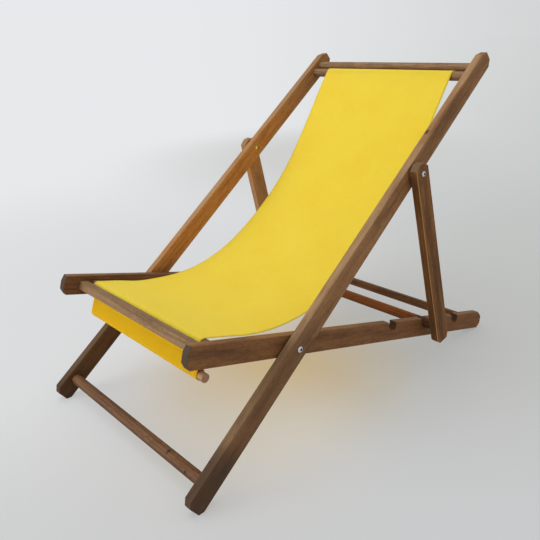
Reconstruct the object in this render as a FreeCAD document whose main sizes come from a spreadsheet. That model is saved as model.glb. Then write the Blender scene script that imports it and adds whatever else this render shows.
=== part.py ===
import FreeCAD, Part
import math
import os

import Sketcher

# Folding sling deck chair.
# The back frame is the outer one, the seat frame crosses it inside, and a prop frame outside
# both drops its bar into notches in the seat rails. A canvas sling hangs between the top bars
# of the back frame and the front bars of the seat frame.
#
# X runs across the chair, Y to the rear, Z up. The origin is on the floor, under the middle
# of the chair. Left and right are as seen from the front. Each frame is drawn in its own
# axes: Y along its rails, Z across their depth, with the origin on its pivot.

SIZES = (
    # rails
    ("rail_depth", 45),
    ("rail_thickness", 20),
    ("rail_edge_radius", 2.5),
    ("back_frame_width", 553),
    # back frame, measured from the main pivot
    ("back_foot_length", 345),
    ("foot_flat_rise", 7.5),
    ("foot_front_run", 11),
    ("foot_front_rise", 10.5),
    ("top_front_run", 22),
    ("top_front_rise", 10.5),
    ("top_rear_run", 15),
    ("top_rear_rise", 12.5),
    ("foot_bar_distance", 297),
    ("top_bar_distance", 786.5),
    ("top_bar_spacing", 30.5),
    ("back_head_margin", 44),
    # seat frame, measured from the main pivot
    ("seat_front_length", 255),
    ("seat_rear_length", 755),
    ("seat_front_top_run", 5.5),
    ("seat_front_top_rise", 14.5),
    ("seat_front_low_run", 9),
    ("seat_front_low_rise", 11.5),
    ("seat_rear_top_run", 17.5),
    ("seat_rear_top_rise", 12),
    ("seat_rear_low_run", 13.5),
    ("seat_rear_low_rise", 12.8),
    ("front_dowel_distance", 178.5),
    ("sling_slot", 6),
    ("front_bar_width", 20),
    ("front_bar_height", 20),
    ("stretcher_gap", 37),
    ("stretcher_width", 20),
    ("stretcher_height", 20),
    ("bar_edge_radius", 2),
    # notches in the seat rails
    ("notch_first", 337),
    ("notch_pitch", 138),
    ("notch_count", 3),
    ("notch_in_use", 2),
    ("notch_width", 27.5),
    ("notch_depth", 23),
    ("notch_lean", 18),
    # prop frame
    ("prop_pivot_distance", 472),
    ("prop_length", 414),
    ("prop_head_length", 24),
    ("prop_tail_length", 36),
    ("prop_head_run", 12),
    ("prop_head_rise", 15),
    ("prop_tail_front_run", 11),
    ("prop_tail_front_rise", 10),
    ("prop_tail_rear_run", 15),
    ("prop_tail_rear_rise", 7.5),
    # round bars and their sockets
    ("dowel_diameter", 24),
    ("prop_bar_diameter", 24),
    ("tenon_diameter", 12),
    ("socket_depth", 14),
    ("socket_clearance", 0.05),
    ("seat_clearance", 0.3),
    # pivots
    ("bolt_diameter", 8),
    ("bolt_clearance", 0.05),
    ("bolt_head_diameter", 13),
    ("bolt_head_height", 3.4),
    ("hex_width", 5),
    ("hex_depth", 2.2),
    ("sleeve_diameter", 12),
    ("sleeve_length", 15),
    ("sleeve_recess", 2.5),
    ("washer_diameter", 22),
    ("main_washer_thickness", 2.8),
    ("prop_washer_thickness", 4.8),
    ("pivot_play", 0.1),
    # sling
    ("cloth_thickness", 1),
    ("sling_width", 416),
    ("sling_front_shift", -10),
    ("sling_top_shift", 9.5),
    ("seat_slope", 16),
    ("seat_run", 90),
    ("hollow_radius", 430),
    ("hollow_turn", 43),
    ("back_bend", 155.5),
    ("rod_diameter", 18),
    ("front_hem_drop", 48.5),
    ("front_rod_length", 426),
    ("top_rod_length", 440),
)

LEFT, RIGHT = -1, 1


def fill_sheet(doc, name, rows):
    """Write one named number to each row of a new spreadsheet."""
    sheet = doc.addObject("Spreadsheet::Sheet", name)
    for line, (alias, number) in enumerate(rows, start=1):
        sheet.set(f"A{line}", alias)
        sheet.set(f"B{line}", repr(number))
        sheet.setAlias(f"B{line}", alias)
    doc.recompute()
    return sheet


class Values:
    """The numbers of a sheet, read by name."""

    def __init__(self, sheet):
        self.sheet = sheet

    def __getattr__(self, alias):
        return float(self.sheet.get(alias))


def work_out(s):
    """Places and angles that follow from the driving sizes when the chair stands on the floor."""
    half_depth = s.rail_depth / 2
    lean = math.radians(s.notch_lean)

    # The prop bar sits at the bottom of the notch in use.
    pocket_y = s.notch_first + s.notch_pitch * (s.notch_in_use - 1)
    pocket_z = half_depth - s.notch_depth + s.notch_width / 2
    slack = (s.notch_width - s.prop_bar_diameter) / 2 - s.seat_clearance
    bar_y = pocket_y + slack * math.sin(lean)
    bar_z = pocket_z - slack * math.cos(lean)

    # Main pivot, prop pivot and prop bar make a triangle of three known sides.
    reach = math.hypot(bar_y, bar_z)
    cosine = (s.prop_pivot_distance**2 + reach**2 - s.prop_length**2) / (2 * s.prop_pivot_distance * reach)
    opening = math.acos(cosine) + math.atan2(bar_z, bar_y)

    # Both frames reach the floor at the same height below the main pivot.
    foot_y = s.back_foot_length
    foot_z = half_depth - s.foot_flat_rise
    rear_y = s.seat_rear_length - s.seat_rear_low_run
    rear_radius = math.hypot(rear_y, half_depth)
    rear_lead = opening + math.atan2(half_depth, rear_y)
    rear_rise = rear_radius * math.sin(rear_lead) - foot_z
    back_angle = math.atan2(rear_rise, foot_y + rear_radius * math.cos(rear_lead))
    seat_angle = opening - back_angle
    pivot_height = foot_y * math.sin(back_angle) + foot_z * math.cos(back_angle)

    prop_pivot_y = s.prop_pivot_distance * math.cos(back_angle)
    prop_pivot_z = s.prop_pivot_distance * math.sin(back_angle)
    world_bar_y = bar_y * math.cos(seat_angle) + bar_z * math.sin(seat_angle)
    world_bar_z = bar_z * math.cos(seat_angle) - bar_y * math.sin(seat_angle)
    prop_angle = math.atan2(prop_pivot_z - world_bar_z, world_bar_y - prop_pivot_y)

    # The chair's middle lies half way between its foremost and rearmost corners.
    front_y = -foot_y * math.cos(back_angle) - (half_depth - s.foot_front_rise) * math.sin(back_angle)
    rear_tip_z = half_depth - s.seat_rear_top_rise
    rear_most_y = s.seat_rear_length * math.cos(seat_angle) + rear_tip_z * math.sin(seat_angle)
    pivot_y = -(front_y + rear_most_y) / 2

    # The back rails run on past the upper bar, and the stretcher lies behind the last notch.
    upper_bar = s.top_bar_distance + s.top_bar_spacing
    last_notch = s.notch_first + s.notch_pitch * (s.notch_count - 1)
    slot_front = s.front_dowel_distance + s.dowel_diameter / 2 + s.sling_slot
    front_bar_place = slot_front + s.front_bar_width / 2

    back_outer = s.back_frame_width / 2
    back_inner = back_outer - s.rail_thickness
    seat_outer = back_inner - s.main_washer_thickness - 2 * s.pivot_play
    prop_inner = back_outer + s.prop_washer_thickness + 2 * s.pivot_play
    return (
        ("back_angle", math.degrees(back_angle)),
        ("seat_angle", math.degrees(seat_angle)),
        ("prop_angle", math.degrees(prop_angle)),
        ("pivot_y", pivot_y),
        ("pivot_height", pivot_height),
        ("prop_pivot_y", pivot_y + prop_pivot_y),
        ("prop_pivot_height", pivot_height + prop_pivot_z),
        ("back_outer", back_outer),
        ("back_inner", back_inner),
        ("seat_outer", seat_outer),
        ("seat_inner", seat_outer - s.rail_thickness),
        ("prop_inner", prop_inner),
        ("foot_flat_run", s.foot_flat_rise / math.tan(back_angle)),
        ("pocket_z", pocket_z),
        ("front_bar_place", front_bar_place),
        ("stretcher_place", half_depth - s.stretcher_height / 2),
        ("top_bar_upper_distance", upper_bar),
        ("back_top_length", upper_bar + s.back_head_margin),
        ("stretcher_distance", last_notch + s.stretcher_gap),
    )


# sketches

def new_sketch(body, name, role="YZ_Plane"):
    """A sketch on one of the body's own origin planes."""
    sketch = body.newObject("Sketcher::SketchObject", name)
    plane = next(feature for feature in body.Origin.OriginFeatures if feature.Role == role)
    sketch.AttachmentSupport = [(plane, "")]
    sketch.MapMode = "FlatFace"
    return sketch


def number_of(sketch, expression):
    value = sketch.evalExpression(expression)
    return float(getattr(value, "Value", value))


def bind(sketch, kind, items, expression):
    """Add a dimension to the sketch and tie it to the sizes."""
    index = sketch.addConstraint(Sketcher.Constraint(kind, *items, number_of(sketch, expression)))
    sketch.setExpression(f"Constraints[{index}]", expression)


def pin(sketch, geometry, position, across, up):
    """Hold a point at two expressions from the sketch's origin."""
    for kind, expression, axis in (("DistanceX", across, -2), ("DistanceY", up, -1)):
        if expression == "0":
            sketch.addConstraint(Sketcher.Constraint("PointOnObject", geometry, position, axis))
        else:
            bind(sketch, kind, (-1, 1, geometry, position), expression)


def polygon(sketch, corners):
    """Close straight lines through corners, each a pair of expressions."""
    places = [FreeCAD.Vector(number_of(sketch, u), number_of(sketch, v), 0) for u, v in corners]
    count = len(corners)
    for index in range(count):
        sketch.addGeometry(Part.LineSegment(places[index], places[(index + 1) % count]), False)
    for index in range(count):
        sketch.addConstraint(Sketcher.Constraint("Coincident", index, 2, (index + 1) % count, 1))
    for index, (across, up) in enumerate(corners):
        pin(sketch, index, 1, across, up)


def circle(sketch, across, up, diameter):
    """A circle at a pair of expressions."""
    centre = FreeCAD.Vector(number_of(sketch, across), number_of(sketch, up), 0)
    radius = number_of(sketch, diameter) / 2
    geometry = sketch.addGeometry(Part.Circle(centre, FreeCAD.Vector(0, 0, 1), radius), False)
    pin(sketch, geometry, 3, across, up)
    bind(sketch, "Diameter", (geometry,), diameter)


def notch_outline(sketch):
    """An upright slot with a half-round bottom about the sketch's origin."""
    half = "Sizes.notch_width / 2"
    top = "Sizes.rail_depth"
    radius = number_of(sketch, half)
    height = number_of(sketch, top)
    bottom = Part.Circle(FreeCAD.Vector(0, 0, 0), FreeCAD.Vector(0, 0, 1), radius)
    sketch.addGeometry(Part.ArcOfCircle(bottom, math.pi, 2 * math.pi), False)
    corners = ((radius, 0), (radius, height), (-radius, height), (-radius, 0))
    for here, there in zip(corners, corners[1:]):
        sketch.addGeometry(Part.LineSegment(FreeCAD.Vector(*here, 0), FreeCAD.Vector(*there, 0)), False)
    for first, second in ((0, 1), (1, 2), (2, 3)):
        sketch.addConstraint(Sketcher.Constraint("Coincident", first, 2, second, 1))
    sketch.addConstraint(Sketcher.Constraint("Coincident", 3, 2, 0, 1))
    sketch.addConstraint(Sketcher.Constraint("Coincident", 0, 3, -1, 1))
    sketch.addConstraint(Sketcher.Constraint("PointOnObject", 0, 1, -1))
    sketch.addConstraint(Sketcher.Constraint("PointOnObject", 0, 2, -1))
    sketch.addConstraint(Sketcher.Constraint("Vertical", 1))
    sketch.addConstraint(Sketcher.Constraint("Vertical", 3))
    sketch.addConstraint(Sketcher.Constraint("Horizontal", 2))
    bind(sketch, "Radius", (0,), half)
    bind(sketch, "DistanceY", (-1, 1, 2, 1), top)


# features

def pad(body, sketch, name, length, reverse=False, midplane=False):
    feature = body.newObject("PartDesign::Pad", name)
    feature.Profile = sketch
    feature.Reversed = reverse
    feature.Midplane = midplane
    feature.setExpression("Length", length)
    return feature


def pocket(body, sketch, name, length, reverse):
    """Cut a sketch into the body, and make sure that it cuts."""
    before = body.Shape.Volume
    feature = body.newObject("PartDesign::Pocket", name)
    feature.Profile = sketch
    feature.Reversed = reverse
    feature.setExpression("Length", length)
    body.Document.recompute()
    if not body.Shape.Volume < before:
        raise RuntimeError(f"{body.Label}: {name} cuts nothing")
    return feature


def round_edges(body, base, radius, wanted):
    """Round those edges of a feature that the wanted function picks."""
    body.Document.recompute()
    names = [f"Edge{i}" for i, edge in enumerate(base.Shape.Edges, start=1) if wanted(edge)]
    feature = body.newObject("PartDesign::Fillet", "rounded_edges")
    feature.Base = (base, names)
    feature.setExpression("Radius", radius)
    body.Document.recompute()
    return feature


def lies_in_side(edge):
    """An edge of the outline, not one that runs through the thickness."""
    start, end = edge.Vertexes[0].Point, edge.Vertexes[-1].Point
    return abs(start.x - end.x) < 1e-6


def runs_across(edge):
    """A straight edge along the width of the chair."""
    start, end = edge.Vertexes[0].Point, edge.Vertexes[-1].Point
    return abs(start.x - end.x) > 1e-6 and abs(start.y - end.y) < 1e-6 and abs(start.z - end.z) < 1e-6


class Frame:
    """The tilt and place that every piece of one frame shares."""

    def __init__(self, doc, angle, height, depth):
        self.doc = doc
        self.angle = angle
        self.height = height
        self.depth = depth

    def place(self, thing, across="0"):
        """Tie a piece's placement to the frame's pivot and angle."""
        thing.Placement = FreeCAD.Placement(FreeCAD.Vector(), FreeCAD.Rotation(FreeCAD.Vector(1, 0, 0), 1))
        thing.setExpression("Placement.Rotation.Angle", self.angle)
        thing.setExpression("Placement.Base.x", across)
        thing.setExpression("Placement.Base.y", self.depth)
        thing.setExpression("Placement.Base.z", self.height)

    def body(self, label):
        body = self.doc.addObject("PartDesign::Body", label)
        body.Label = label
        return body


def rail(frame, label, side, inner, corners, sockets, bolt_holes):
    """A board of the rails' section with its inner face on the sketch plane.

    sockets are blind holes for bars: place along, place across, diameter.
    bolt_holes go right through: place along, diameter.
    """
    body = frame.body(label)
    outline = new_sketch(body, "outline")
    polygon(outline, corners)
    board = pad(body, outline, "board", "Sizes.rail_thickness", reverse=side == LEFT)
    round_edges(body, board, "Sizes.rail_edge_radius", lies_in_side)
    for index, (along, across, diameter) in enumerate(sockets, start=1):
        hole = new_sketch(body, f"socket_outline_{index}")
        circle(hole, along, across, diameter)
        pocket(body, hole, f"socket_{index}", "Sizes.socket_depth", reverse=side == RIGHT)
    for index, (along, diameter) in enumerate(bolt_holes, start=1):
        hole = new_sketch(body, f"bolt_hole_outline_{index}")
        circle(hole, along, "0", diameter)
        pocket(body, hole, f"bolt_hole_{index}", "Sizes.rail_thickness", reverse=side == RIGHT)
    frame.place(body, inner if side == RIGHT else f"-{inner}")
    return body


def recess(body, along, diameter, depth, side):
    """A wider, shallow hole from the inner face."""
    hole = new_sketch(body, "recess_outline")
    circle(hole, along, "0", diameter)
    pocket(body, hole, "recess", depth, reverse=side == RIGHT)


DOWEL_SOCKET = "(Sizes.dowel_diameter + 2 * Sizes.socket_clearance)"
PROP_SOCKET = "(Sizes.prop_bar_diameter + 2 * Sizes.socket_clearance)"
TENON_SOCKET = "(Sizes.tenon_diameter + 2 * Sizes.socket_clearance)"
BOLT_HOLE = "(Sizes.bolt_diameter + 2 * Sizes.bolt_clearance)"
SLEEVE_HOLE = "(Sizes.sleeve_diameter + 2 * Sizes.bolt_clearance)"
SLEEVE_DEPTH = "(Sizes.sleeve_length + Sizes.sleeve_recess)"
TOP = "Sizes.rail_depth / 2"
BOTTOM = "-Sizes.rail_depth / 2"


def back_rail(frame, label, side):
    """Rail of the back frame, from the foot on the floor to the head of the chair."""
    foot, head = "-Sizes.back_foot_length", "Worked.back_top_length"
    corners = (
        (foot, f"{BOTTOM} + Sizes.foot_flat_rise"),
        (f"{foot} + Worked.foot_flat_run", BOTTOM),
        (f"{head} - Sizes.top_rear_run", BOTTOM),
        (head, f"{BOTTOM} + Sizes.top_rear_rise"),
        (head, f"{TOP} - Sizes.top_front_rise"),
        (f"{head} - Sizes.top_front_run", TOP),
        (f"{foot} + Sizes.foot_front_run", TOP),
        (foot, f"{TOP} - Sizes.foot_front_rise"),
    )
    sockets = (
        ("-Sizes.foot_bar_distance", "0", DOWEL_SOCKET),
        ("Sizes.top_bar_distance", "0", DOWEL_SOCKET),
        ("Worked.top_bar_upper_distance", "0", DOWEL_SOCKET),
    )
    bolt_holes = (("0", BOLT_HOLE), ("Sizes.prop_pivot_distance", BOLT_HOLE))
    body = rail(frame, label, side, "Worked.back_inner", corners, sockets, bolt_holes)
    recess(body, "Sizes.prop_pivot_distance", SLEEVE_HOLE, SLEEVE_DEPTH, side)
    return body


def seat_rail(frame, label, side):
    """Rail of the seat frame, with a row of leaning notches in its upper edge."""
    front, rear = "-Sizes.seat_front_length", "Sizes.seat_rear_length"
    corners = (
        (front, f"{BOTTOM} + Sizes.seat_front_low_rise"),
        (f"{front} + Sizes.seat_front_low_run", BOTTOM),
        (f"{rear} - Sizes.seat_rear_low_run", BOTTOM),
        (rear, f"{BOTTOM} + Sizes.seat_rear_low_rise"),
        (rear, f"{TOP} - Sizes.seat_rear_top_rise"),
        (f"{rear} - Sizes.seat_rear_top_run", TOP),
        (f"{front} + Sizes.seat_front_top_run", TOP),
        (front, f"{TOP} - Sizes.seat_front_top_rise"),
    )
    sockets = (
        ("-Worked.front_bar_place", "0", TENON_SOCKET),
        ("-Sizes.front_dowel_distance", "0", DOWEL_SOCKET),
        ("Worked.stretcher_distance", "Worked.stretcher_place", TENON_SOCKET),
    )
    body = rail(frame, label, side, "Worked.seat_inner", corners, sockets, (("0", BOLT_HOLE),))
    recess(body, "0", SLEEVE_HOLE, SLEEVE_DEPTH, side)

    slot = new_sketch(body, "notch_outline")
    notch_outline(slot)
    slot.AttachmentOffset = FreeCAD.Placement(FreeCAD.Vector(), FreeCAD.Rotation(FreeCAD.Vector(0, 0, 1), 1))
    slot.setExpression("AttachmentOffset.Base.x", "Sizes.notch_first")
    slot.setExpression("AttachmentOffset.Base.y", "Worked.pocket_z")
    slot.setExpression("AttachmentOffset.Rotation.Angle", "Sizes.notch_lean")
    body.Document.recompute()
    notch = pocket(body, slot, "notch", "Sizes.rail_thickness", reverse=side == RIGHT)
    before = body.Shape.Volume
    row = body.newObject("PartDesign::LinearPattern", "notch_row")
    row.Originals = [notch]
    along = next(feature for feature in body.Origin.OriginFeatures if feature.Role == "Y_Axis")
    row.Direction = (along, [""])
    row.setExpression("Occurrences", "Sizes.notch_count")
    row.setExpression("Length", "Sizes.notch_pitch * (Sizes.notch_count - 1)")
    body.Tip = row
    body.Document.recompute()
    if not body.Shape.Volume < before:
        raise RuntimeError(f"{label}: the row of notches cuts nothing")
    return body


def prop_leg(frame, label, side):
    """Leg of the prop frame, hanging from the back rail's outer side."""
    head = "-Sizes.prop_head_length"
    tail = "Sizes.prop_length + Sizes.prop_tail_length"
    corners = (
        (head, f"{BOTTOM} + Sizes.prop_head_rise"),
        (f"{head} + Sizes.prop_head_run", BOTTOM),
        (f"{tail} - Sizes.prop_tail_front_run", BOTTOM),
        (tail, f"{BOTTOM} + Sizes.prop_tail_front_rise"),
        (tail, f"{TOP} - Sizes.prop_tail_rear_rise"),
        (f"{tail} - Sizes.prop_tail_rear_run", TOP),
        (f"{head} + Sizes.prop_head_run", TOP),
        (head, f"{TOP} - Sizes.prop_head_rise"),
    )
    sockets = (("Sizes.prop_length", "0", PROP_SOCKET),)
    return rail(frame, label, side, "Worked.prop_inner", corners, sockets, (("0", BOLT_HOLE),))


# bars

SOCKET_REACH = "2 * (Sizes.socket_depth - Sizes.seat_clearance)"


def round_bar(frame, label, along, diameter, inner):
    """A dowel between two rails, its ends in their sockets."""
    body = frame.body(label)
    section = new_sketch(body, "section")
    circle(section, along, "0", diameter)
    pad(body, section, "dowel", f"2 * {inner} + {SOCKET_REACH}", midplane=True)
    frame.place(body)
    return body


def square_bar(frame, label, along, across, width, height, inner):
    """A squared bar with eased edges and a round tenon at each end."""
    body = frame.body(label)
    section = new_sketch(body, "section")
    left, right = f"{along} - {width} / 2", f"{along} + {width} / 2"
    low, high = f"{across} - {height} / 2", f"{across} + {height} / 2"
    polygon(section, ((left, low), (right, low), (right, high), (left, high)))
    bar = pad(body, section, "bar", f"2 * {inner}", midplane=True)
    round_edges(body, bar, "Sizes.bar_edge_radius", runs_across)
    tenon = new_sketch(body, "tenon_section")
    circle(tenon, along, across, "Sizes.tenon_diameter")
    pad(body, tenon, "tenons", f"2 * {inner} + {SOCKET_REACH}", midplane=True)
    frame.place(body)
    return body


# fasteners

def hexagon(sketch, width):
    """A regular hexagon about the sketch's origin, width across its flats."""
    corner = f"{width} / 2 / cos(30)"
    half = f"{width} / 2"
    edge = f"{width} / 2 * tan(30)"
    polygon(sketch, (
        (corner, "0"), (edge, half), (f"-{edge}", half),
        (f"-{corner}", "0"), (f"-{edge}", f"-{half}"), (edge, f"-{half}"),
    ))


def turned(body, name, corners):
    """A solid turned about the X axis from an outline of places along X and radii."""
    profile = new_sketch(body, f"{name}_profile", "XY_Plane")
    polygon(profile, corners)
    solid = body.newObject("PartDesign::Revolution", name)
    solid.Profile = profile
    solid.ReferenceAxis = (profile, ["H_Axis"])
    solid.Angle = 360
    body.Document.recompute()
    return solid


def both_sides(doc, frame, label, single):
    """The piece and its mirror image on the other side of the chair, as one node."""
    mirror = doc.addObject("Part::Mirroring", f"{label}_left")
    mirror.Source = single
    mirror.Normal = FreeCAD.Vector(1, 0, 0)
    pair = doc.addObject("Part::Compound", label)
    pair.Links = [single, mirror]
    pair.Label = label
    frame.place(pair)
    return pair


# Domed bolt heads, as shares of the head's radius and height.
HEAD_FLAT_RADIUS = 0.5
HEAD_SHOULDER_RADIUS = 0.75
HEAD_SHOULDER_HEIGHT = 0.8
HEAD_RIM_HEIGHT = 0.35


def pivot_bolts(doc, frame, label, along, outer, tip):
    """Round-headed bolts with a hexagon socket, through the outer rail into the sleeve."""
    body = doc.addObject("PartDesign::Body", f"{label}_right")
    seat = f"{outer} + Sizes.pivot_play"
    radius = "Sizes.bolt_diameter / 2"
    head = "Sizes.bolt_head_diameter / 2"
    height = "Sizes.bolt_head_height"
    turned(body, "bolt", (
        (tip, "0"),
        (f"{seat} + {height}", "0"),
        (f"{seat} + {height}", f"{head} * {HEAD_FLAT_RADIUS}"),
        (f"{seat} + {height} * {HEAD_SHOULDER_HEIGHT}", f"{head} * {HEAD_SHOULDER_RADIUS}"),
        (f"{seat} + {height} * {HEAD_RIM_HEIGHT}", head),
        (seat, head),
        (seat, radius),
        (tip, radius),
    ))
    socket = new_sketch(body, "hexagon")
    hexagon(socket, "Sizes.hex_width")
    socket.setExpression("AttachmentOffset.Base.z", f"{seat} + {height} - Sizes.hex_depth")
    body.Document.recompute()
    pocket(body, socket, "hexagon_socket", height, reverse=True)
    body.setExpression("Placement.Base.y", along)
    return both_sides(doc, frame, label, body)


def ring(doc, frame, label, along, start, length, diameter, bore):
    """Plain rings about a pivot axis, such as washers and sleeves."""
    body = doc.addObject("PartDesign::Body", f"{label}_right")
    turned(body, "ring", (
        (start, f"{bore} / 2"),
        (f"{start} + {length}", f"{bore} / 2"),
        (f"{start} + {length}", f"{diameter} / 2"),
        (start, f"{diameter} / 2"),
    ))
    body.setExpression("Placement.Base.y", along)
    return both_sides(doc, frame, label, body)


# sling

class SheetPath:
    """Lines and arcs drawn by heading, in the plane across the chair's width."""

    def __init__(self, place, heading, offset):
        self.heading = heading
        self.offset = offset
        self.place = place + self.left() * offset
        self.edges = []

    def ahead(self):
        return FreeCAD.Vector(0, math.cos(self.heading), math.sin(self.heading))

    def left(self):
        return FreeCAD.Vector(0, -math.sin(self.heading), math.cos(self.heading))

    def line(self, length):
        end = self.place + self.ahead() * length
        self.edges.append(Part.LineSegment(self.place, end).toShape())
        self.place = end

    def arc(self, radius, turn):
        """Turn left by a positive angle and right by a negative one, in radians."""
        way = math.copysign(1, turn)
        reach = radius - way * self.offset
        centre = self.place + self.left() * way * reach
        half_way = centre + self.turned_spoke(centre, turn / 2)
        end = centre + self.turned_spoke(centre, turn)
        self.edges.append(Part.Arc(self.place, half_way, end).toShape())
        self.place = end
        self.heading += turn

    def turned_spoke(self, centre, turn):
        spoke = self.place - centre
        return FreeCAD.Rotation(FreeCAD.Vector(1, 0, 0), math.degrees(turn)).multVec(spoke)


def sling_path(s, w, offset):
    """The sling from the front hem over the front dowel, down, up and over the top bar."""
    skin = s.dowel_diameter / 2 + s.seat_clearance + s.cloth_thickness / 2
    seat_angle, back_angle = math.radians(w.seat_angle), math.radians(w.back_angle)
    pivot = FreeCAD.Vector(0, w.pivot_y, w.pivot_height)
    dowel = pivot - seat_way(seat_angle) * s.front_dowel_distance
    top = pivot + back_way(back_angle) * s.top_bar_distance
    path = SheetPath(dowel - FreeCAD.Vector(0, skin, s.front_hem_drop), math.pi / 2, offset)
    path.line(s.front_hem_drop)
    path.arc(skin, -math.pi / 2 - math.radians(s.seat_slope))
    path.line(s.seat_run)
    path.arc(s.hollow_radius, math.radians(s.hollow_turn))

    # A second arc rounds the corner between this way and the straight run that just meets the
    # curve over the top bar. It starts and ends back_bend away from that corner.
    corner = path.place - path.left() * offset + path.ahead() * s.back_bend
    away = top - corner
    turn = math.atan2(away.z, away.y) + math.asin(skin / away.Length) - path.heading
    path.arc(s.back_bend / math.tan(turn / 2), turn)
    path.line(math.sqrt(away.Length**2 - skin**2) - s.back_bend)
    path.arc(skin, back_angle - math.pi / 2 - path.heading)
    path.line(top_tail(s))
    return path


def seat_way(angle):
    """Along the seat rails, to the rear."""
    return FreeCAD.Vector(0, math.cos(angle), -math.sin(angle))


def back_way(angle):
    """Along the back rails, to the head."""
    return FreeCAD.Vector(0, math.cos(angle), math.sin(angle))


def rod_depth(s):
    """How far behind the top bars the upper rod lies, drawn up against both."""
    apart = s.dowel_diameter / 2 + s.rod_diameter / 2 + s.cloth_thickness + 2 * s.seat_clearance
    return math.sqrt(apart**2 - (s.top_bar_spacing / 2) ** 2)


def top_tail(s):
    """Length of cloth from the top bar's side to the upper rod's hem."""
    return rod_depth(s) - s.rod_diameter / 2


def rod_places(s, w):
    """Middles of the front rod and the upper rod."""
    skin = s.dowel_diameter / 2 + s.seat_clearance + s.cloth_thickness / 2
    seat_angle, back_angle = math.radians(w.seat_angle), math.radians(w.back_angle)
    pivot = FreeCAD.Vector(0, w.pivot_y, w.pivot_height)
    dowel = pivot - seat_way(seat_angle) * s.front_dowel_distance
    hem = s.rod_diameter / 2 + s.seat_clearance
    front = dowel - FreeCAD.Vector(0, skin, s.front_hem_drop + hem)
    across = FreeCAD.Vector(0, -math.sin(back_angle), math.cos(back_angle))
    middle = s.top_bar_distance + s.top_bar_spacing / 2
    upper = pivot + back_way(back_angle) * middle - across * rod_depth(s)
    return front, upper


def strip(path_out, path_back, width):
    """A sheet between two offset paths, as wide as asked and in the middle of the chair."""
    ends = [
        Part.LineSegment(path_out.place, path_back.place).toShape(),
        Part.LineSegment(path_back.edges[0].Vertexes[0].Point, path_out.edges[0].Vertexes[0].Point).toShape(),
    ]
    wire = Part.Wire(Part.__sortEdges__(path_out.edges + path_back.edges + ends))
    solid = Part.Face(wire).extrude(FreeCAD.Vector(width, 0, 0))
    solid.translate(FreeCAD.Vector(-width / 2, 0, 0))
    return solid


def tube(middle, width, outer):
    """A cylinder across the chair about a rod's axis, the hem or its bore."""
    start = FreeCAD.Vector(-width / 2, middle.y, middle.z)
    return Part.makeCylinder(outer, width, start, FreeCAD.Vector(1, 0, 0))


def make_sling(doc, label, s, w):
    """One sheet of canvas of even width with a hem round a rod at each end."""
    wide = s.sling_width + 2 * max(abs(s.sling_front_shift), abs(s.sling_top_shift))
    half = s.cloth_thickness / 2
    sheet = strip(sling_path(s, w, half), sling_path(s, w, -half), wide)
    front, upper = rod_places(s, w)
    bore = s.rod_diameter / 2 + s.seat_clearance
    for middle in (front, upper):
        sheet = sheet.fuse(tube(middle, wide, bore + s.cloth_thickness))
    for middle in (front, upper):
        sheet = sheet.cut(tube(middle, wide + 2 * s.cloth_thickness, bore))

    # The cloth hangs a little askew, so its edges are cut along a slant.
    low, high = 0, w.pivot_height + w.back_top_length
    half_width = s.sling_width / 2
    plan = (
        (s.sling_front_shift - half_width, front.y - s.rod_diameter),
        (s.sling_front_shift + half_width, front.y - s.rod_diameter),
        (s.sling_top_shift + half_width, upper.y + s.rod_diameter),
        (s.sling_top_shift - half_width, upper.y + s.rod_diameter),
    )
    corners = [FreeCAD.Vector(x, y, low) for x, y in plan]
    block = Part.Face(Part.makePolygon(corners + corners[:1])).extrude(FreeCAD.Vector(0, 0, high))
    sling = doc.addObject("Part::Feature", label)
    sling.Shape = sheet.common(block).removeSplitter()
    sling.Label = label
    sling.Placement = FreeCAD.Placement()
    return sling


def make_rod(doc, label, name, length):
    """A plain rod in one of the sling's hems."""
    rod = doc.addObject("Part::Cylinder", label)
    rod.Label = label
    rod.setExpression("Radius", "Sizes.rod_diameter / 2")
    rod.setExpression("Height", length)
    rod.Placement = FreeCAD.Placement(FreeCAD.Vector(), FreeCAD.Rotation(FreeCAD.Vector(0, 1, 0), 90))
    rod.setExpression("Placement.Base.x", f"-{length} / 2")
    rod.setExpression("Placement.Base.y", f"Hems.{name}_y")
    rod.setExpression("Placement.Base.z", f"Hems.{name}_z")
    return rod


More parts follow.
